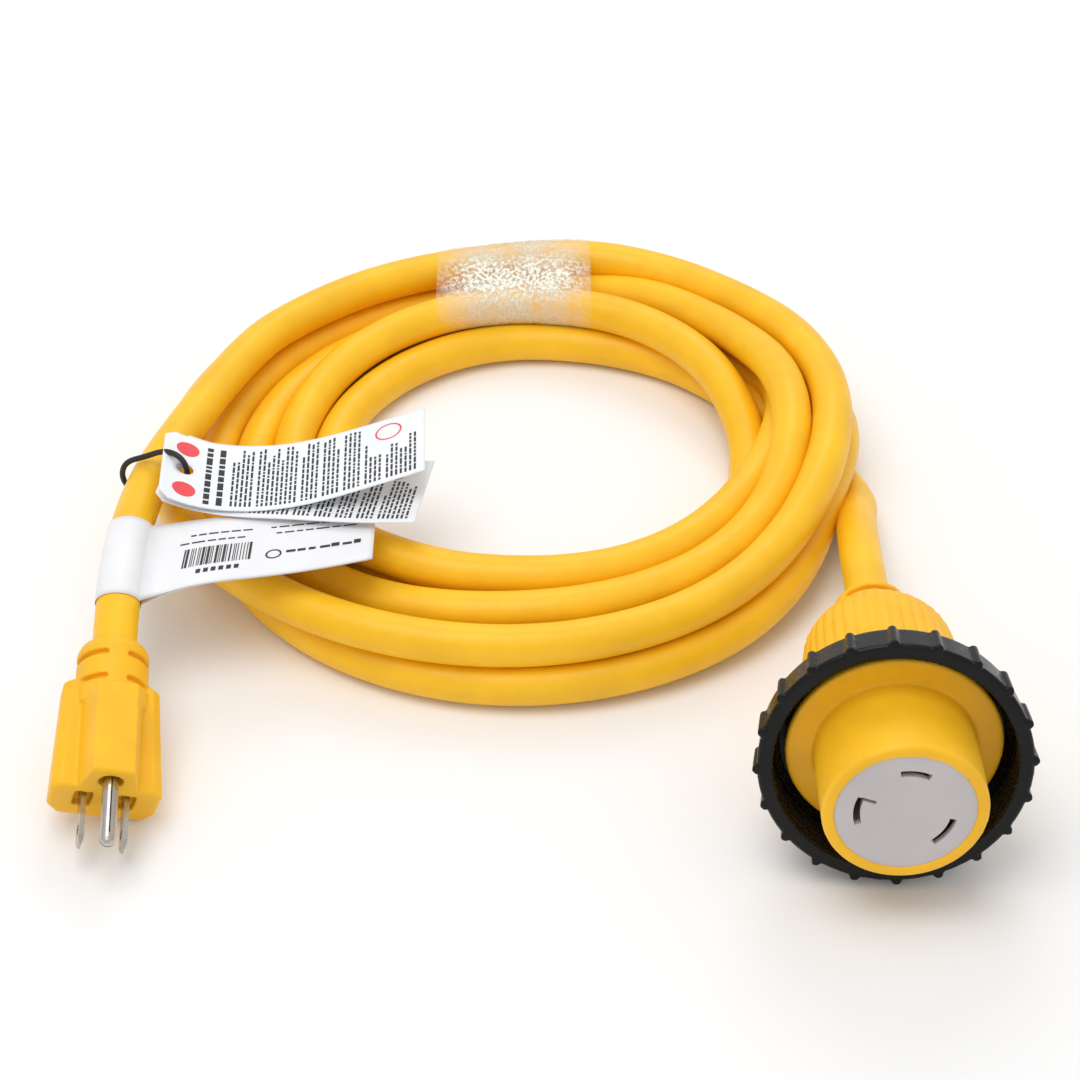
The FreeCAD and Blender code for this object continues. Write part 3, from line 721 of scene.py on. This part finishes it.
def make_flag(line, materials):
    """One strip: the flag's lower ply, the turn round the lead, and the upper ply."""
    across = np.linspace(0, 1, 15)
    rows = []
    for f in np.linspace(1, FLAG_ROOT, PLY_ROWS):
        drop = PLY_GAP + PLY_SPREAD * (FLAG_ROOT / f) ** 2
        rows.append([tuple(flag_point(f, w) - (0, 0, drop)) for w in across])
    for degrees in np.linspace(BAND_START, BAND_END, BAND_ROWS):
        rows.append([tuple(band_point(line, degrees, w)) for w in across])
    for f in np.linspace(FLAG_ROOT, 1, PLY_ROWS):
        rows.append([tuple(flag_point(f, w)) for w in across])
    flag = grid_object("flag", rows, materials["white_label"])
    thicken(flag, LABEL_T)
    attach(flag, "cord_set")
    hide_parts("flag_label")

    def place(u, v):
        return flag_point(u / FLAG_LONG, v / FLAG_WIDE)

    marks = mesh_object("flag_marks", *flag_print(place), materials["black_ink"], False)
    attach(marks, "cord_set")
    return flag


# ---------------------------------------------------------------- hang tags and their string

TAG_LONG, TAG_WIDE, TAG_CLIP, TAG_T = 85.0, 35.6, 3.0, 0.26
TAG_MARGIN = 2.0
TAG_HOLE_U, TAG_HOLE_R = 7.0, 2.7
# turn is in degrees, rise is the height along the middle, tilt is how much higher the far edge is at each end
UPPER_TAG = {"corner": (-222.3, 92.2), "turn": 2.0, "tilt": (-1.0, -2.4),
             "rise": [(0, 42.6), (0.08, 38.9), (0.25, 34.9), (0.5, 35.7), (0.75, 41.7), (1, 49.2)]}
LOWER_TAG = {"corner": (-224.6, 95.5), "turn": -8.5, "tilt": (-0.8, -3.0),
             "rise": [(0, 38.4), (0.08, 36.2), (0.25, 33.7), (0.5, 34.3), (0.75, 35.2), (1, 37.4)]}


def tag_point(tag, u, v):
    """A point of a curled tag, u along it from the hole's end and v across it from its near edge."""
    turn = math.radians(tag["turn"])
    f, w = u / TAG_LONG, v / TAG_WIDE - 0.5
    x = tag["corner"][0] + u * math.cos(turn) - v * math.sin(turn)
    y = tag["corner"][1] + u * math.sin(turn) + v * math.cos(turn)
    lean = tag["tilt"][0] + (tag["tilt"][1] - tag["tilt"][0]) * f
    return np.array([x, y, smooth_curve(tag["rise"], f)[0] + lean * w])


def tag_mesh(name, tag, material):
    """A curled sheet with clipped corners and a punched hole, in squares of about 1 mm."""
    nu, nv = int(TAG_LONG), int(TAG_WIDE)
    hole = np.array([TAG_HOLE_U, TAG_WIDE / 2])
    flat = {}
    for i in range(nu + 1):
        for j in range(nv + 1):
            u = TAG_LONG * i / nu
            trim = max(0.0, TAG_CLIP - u)
            flat[i, j] = np.array([u, trim + (TAG_WIDE - 2 * trim) * j / nv])
    kept, rim = [], set()
    for i in range(nu):
        for j in range(nv):
            corners = [(i, j), (i + 1, j), (i + 1, j + 1), (i, j + 1)]
            middle = np.mean([flat[c] for c in corners], axis=0)
            if np.linalg.norm(middle - hole) < TAG_HOLE_R:
                rim.update(corners)
            else:
                kept.append(corners)
    used = sorted({c for face in kept for c in face})
    for key in rim.intersection(used):
        out = flat[key] - hole
        flat[key] = hole + out / np.linalg.norm(out) * TAG_HOLE_R
    order = {key: n for n, key in enumerate(used)}
    points = [tuple(tag_point(tag, *flat[key])) for key in used]
    obj = mesh_object(name, points, [[order[c] for c in face] for face in kept], material)
    thicken(obj, TAG_T)
    return obj


def tag_words(place, seed):
    """Two rows of heavy dashes and a page of fine ones, where a tag has its heading and its text."""
    rng = random.Random(seed)
    points, faces = [], []
    for u in (13.5, 17.6):
        row_of_words(points, faces, place, rng, u, TAG_MARGIN, TAG_WIDE - TAG_MARGIN, 1.9, (1.2, 4.2), 0.75)
    u = 22.0
    while u < TAG_LONG - 3.0:
        short = 10.0 if u > TAG_LONG - 20 else 0.0
        last = TAG_WIDE - 2.2 - rng.choice((0, 0, 3, 7)) - short
        row_of_words(points, faces, place, rng, u, 2.2, last, 0.72)
        u += 1.5 if int(u) % 7 else 2.4
    return points, faces


def tag_dots(place):
    """A dot on each side of the hole, and a ring at the far end."""
    points, faces = [], []
    for v in (TAG_WIDE * 0.2, TAG_WIDE * 0.8):
        disc(points, faces, place, TAG_HOLE_U + 0.4, v, 3.6)
    disc(points, faces, place, TAG_LONG - 12.0, TAG_WIDE - 7.4, 4.4, 3.8)
    return points, faces


def make_tag(name, node, body, tag, materials, seed):
    sheet = tag_mesh(name, tag, materials["white_paper"])
    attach(sheet, body)
    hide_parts(node)

    def place(u, v):
        return tag_point(tag, u, v)

    ink = mesh_object(f"{name}_print", *tag_words(place, seed), materials["black_ink"], False)
    red = mesh_object(f"{name}_dots", *tag_dots(place), materials["red_ink"], False)
    for marks in (ink, red):
        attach(marks, body)
    return sheet


STRING_PATH = [(-215.4, 110.4, 40.8), (-218.6, 113.0, 43.0), (-223.6, 116.6, 41.4), (-229.6, 118.4, 37.6),
               (-236.6, 118.4, 35.4), (-238.6, 118.6, 28.6), (-235.4, 119.6, 21.6), (-228.6, 120.0, 19.6),
               (-221.2, 119.6, 22.6), (-217.6, 116.0, 29.0), (-215.4, 111.5, 34.6)]
STRING_R = 0.95


def make_string(material):
    string = curve_object("string", STRING_PATH, STRING_R, closed=True, resolution=16)
    string.data.materials.append(material)
    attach(string, "cord_set")
    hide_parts("tag_loop")
    return string


# ---------------------------------------------------------------- assembly

def make_cord(material):
    cord = curve_object("cord", cord_points(), CORD_R)
    cord.data.materials.append(material)
    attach(cord, "cord_set")
    for node in ("cord_plug_lead", "cord_coil", "cord_connector_lead"):
        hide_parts(node)
    return cord


def main():
    materials = make_materials()
    make_camera()
    make_studio()
    finish_nodes(materials)
    cord = make_cord(materials["cord_jacket"])
    line = centre_line(cord)
    softened("connector_body", "connector_shell", 0.5, 3, "cord_set", "yellow_vinyl", materials)
    plug = softened("plug_body", "plug_shell", 0.4, 5, "cord_set", "yellow_vinyl", materials)
    softened("locking_ring", "sealing_ring", 0.4, 2, "ring", "black_nylon", materials)
    tape = make_tape(line, materials["clear_film"])
    flag = make_flag(line, materials)
    string = make_string(materials["black_string"])
    upper = make_tag("upper_tag", "hang_tag_upper", "upper_tag", UPPER_TAG, materials, 3)
    lower = make_tag("lower_tag", "hang_tag_lower", "lower_tag", LOWER_TAG, materials, 5)


main()
